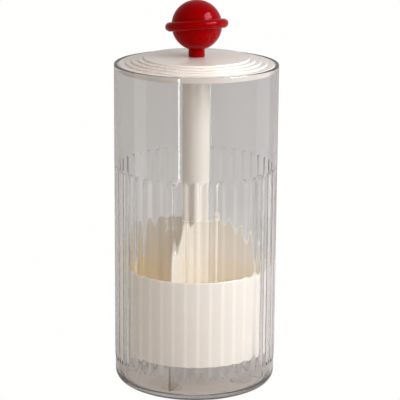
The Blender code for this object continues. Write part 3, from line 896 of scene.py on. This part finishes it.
def knob():
    meet = -pi / 2 + STEM_RADIUS / BALL_RADIUS
    ball = arc(0.0, BALL_HEIGHT, BALL_RADIUS, pi / 2, meet, steps=40)
    profile = [(0.0, BALL_HEIGHT + BALL_RADIUS)] + ball[1:] + [
        (STEM_RADIUS, FINE_EDGE),
        (STEM_RADIUS - FINE_EDGE, 0.0),
        (STUD_HOLE, 0.0),
        (STUD_HOLE, KNOB_HOLE_DEPTH),
        (0.0, KNOB_HOLE_DEPTH),
    ]
    obj = lathe("knob_ball_and_ring", profile, facets=96)
    tube = arc(RING_RADIUS, 0.0, RING_TUBE, 0.0, 2 * pi, steps=28)[:-1]
    ring = lathe("ring", tube, facets=128, closed=True)
    ring.data.transform(Matrix.Rotation(-RING_TILT, 4, "Y") @ Matrix.Rotation(-RING_PITCH, 4, "X"))
    ring.data.transform(Matrix.Translation((0.0, 0.0, BALL_HEIGHT)))
    obj = combined(obj, [ring], "UNION")
    finish(obj, RED, "lift_core", ["knob"], bottom_of("knob"))


canister_shell()
canister_ribs()
foot_pads()
cup()
divider()
post()
plug("post_top_plug", STUD_HOLE)
plug("post_foot_plug", SCREW_HOLE)
cup_screw()
knob_stud()
washer()
lid()
knob()


# ---- Studio

BACKDROP = (1.0, 0.995, 0.99)
ROOM_LEFT = (0.50, 0.447, 0.395)
ROOM_RIGHT = (0.575, 0.60, 0.63)
ROOM_FADE = 0.7                 # how far to each side the room's colour still changes
FLOOR_HALF = 6.0
FLOOR_GREY = (0.42, 0.405, 0.395)
# Floor glow, darker and browner to the left as a painted shadow of the object
GLOW_LEFT_SHADOWED = (0.24, 0.226, 0.212)
GLOW_RIGHT = (0.275, 0.274, 0.274)
GLOW_FADE = 0.08
CAMERA_LENS = 163.95
CAMERA_PLACE = (0.0027, -1.0882, 0.3942)
CAMERA_PITCH = radians(75.60)
CAMERA_ROLL = radians(0.42)


def studio_world():
    """A white backdrop for the camera, and for all other rays a grey room, cooler at its right."""
    world = bpy.data.worlds.new("studio")
    bpy.context.scene.world = world
    n = Nodes("studio", world)
    seen = n.add("ShaderNodeBackground", Color=(*BACKDROP, 1.0), Strength=1.0)
    across = n.spread(n.axes("Generated")[0], 0.0, 1.0, -ROOM_FADE, ROOM_FADE)
    room = n.add("ShaderNodeBackground", Color=n.blend(across, ROOM_LEFT, ROOM_RIGHT), Strength=1.0)
    n.output(n.mix(n.ray("Camera"), room, seen), "ShaderNodeOutputWorld")


def studio_floor():
    """A floor that the camera sees as the backdrop, and all other rays as glowing grey, darker to
    the left as a painted shadow.
    """
    half = FLOOR_HALF
    mesh = bpy.data.meshes.new("floor")
    mesh.from_pydata([(-half, -half, 0), (half, -half, 0), (half, half, 0), (-half, half, 0)],
                     [], [(0, 1, 2, 3)])
    floor = new_object("floor", mesh)
    n = Nodes("floor_white")
    seen = n.add("ShaderNodeEmission", Color=(*BACKDROP, 1.0), Strength=1.0)
    # Painted shadow: the floor's glow fades darker towards the left
    across = n.spread(n.axes()[0], 0.0, 1.0, -GLOW_FADE, GLOW_FADE)
    grey = n.add("ShaderNodeBsdfDiffuse", Color=(*FLOOR_GREY, 1.0))
    glow = n.add("ShaderNodeEmission", Color=n.blend(across, GLOW_LEFT_SHADOWED, GLOW_RIGHT), Strength=1.0)
    both = n.add("ShaderNodeAddShader")
    n.put(both.inputs[0], grey.outputs[0])
    n.put(both.inputs[1], glow.outputs[0])
    mesh.materials.append(n.output(n.mix(n.ray("Camera"), both, seen)))


def softbox(name, azimuth, elevation, distance, width, height, radiance, aim=0.12):
    """A soft light of a given radiance, aimed at a height on the axis and placed from there."""
    data = bpy.data.lights.new(name, "AREA")
    data.shape = "RECTANGLE"
    data.size = width
    data.size_y = height
    data.energy = radiance * width * height * pi
    obj = new_object(name, data)
    direction = outwards(azimuth) * cos(elevation) + Vector((0.0, 0.0, sin(elevation)))
    obj.location = Vector((0.0, 0.0, aim)) + direction * distance
    obj.rotation_euler = direction.to_track_quat("Z", "Y").to_euler()
    obj.visible_camera = False
    return obj


def studio_lights():
    """The key, three lights that show in reflections alone, and the strip left of the post."""
    softbox("key", azimuth=radians(60), elevation=radians(26), distance=1.2,
            width=0.9, height=0.8, radiance=6.0)
    mirrored = [
        softbox("gleam", azimuth=radians(69), elevation=radians(40), distance=1.2,
                width=0.75, height=0.45, radiance=28.0, aim=0.22),
        softbox("left_card", azimuth=radians(-80), elevation=0.0, distance=0.45,
                width=0.17, height=0.24, radiance=1.0),
        softbox("right_card", azimuth=radians(103), elevation=0.0, distance=0.45,
                width=0.24, height=0.24, radiance=0.70),
    ]
    for light in mirrored:
        light.visible_diffuse = False
        light.visible_transmission = False
    strip = softbox("strip", azimuth=radians(-22.5), elevation=radians(4), distance=0.37,
                    width=0.014, height=0.26, radiance=6.0)
    strip.rotation_euler.rotate_axis("Z", radians(3.0))


def camera():
    data = bpy.data.cameras.new("camera")
    data.lens = CAMERA_LENS
    data.sensor_width = 36.0
    obj = new_object("camera", data)
    pitch = Matrix.Rotation(CAMERA_PITCH, 4, "X")
    roll = Matrix.Rotation(CAMERA_ROLL, 4, "Z")
    obj.matrix_world = Matrix.Translation(CAMERA_PLACE) @ pitch @ roll
    bpy.context.scene.camera = obj


studio_world()
studio_floor()
studio_lights()
camera()
bpy.context.scene.view_settings.view_transform = "Standard"
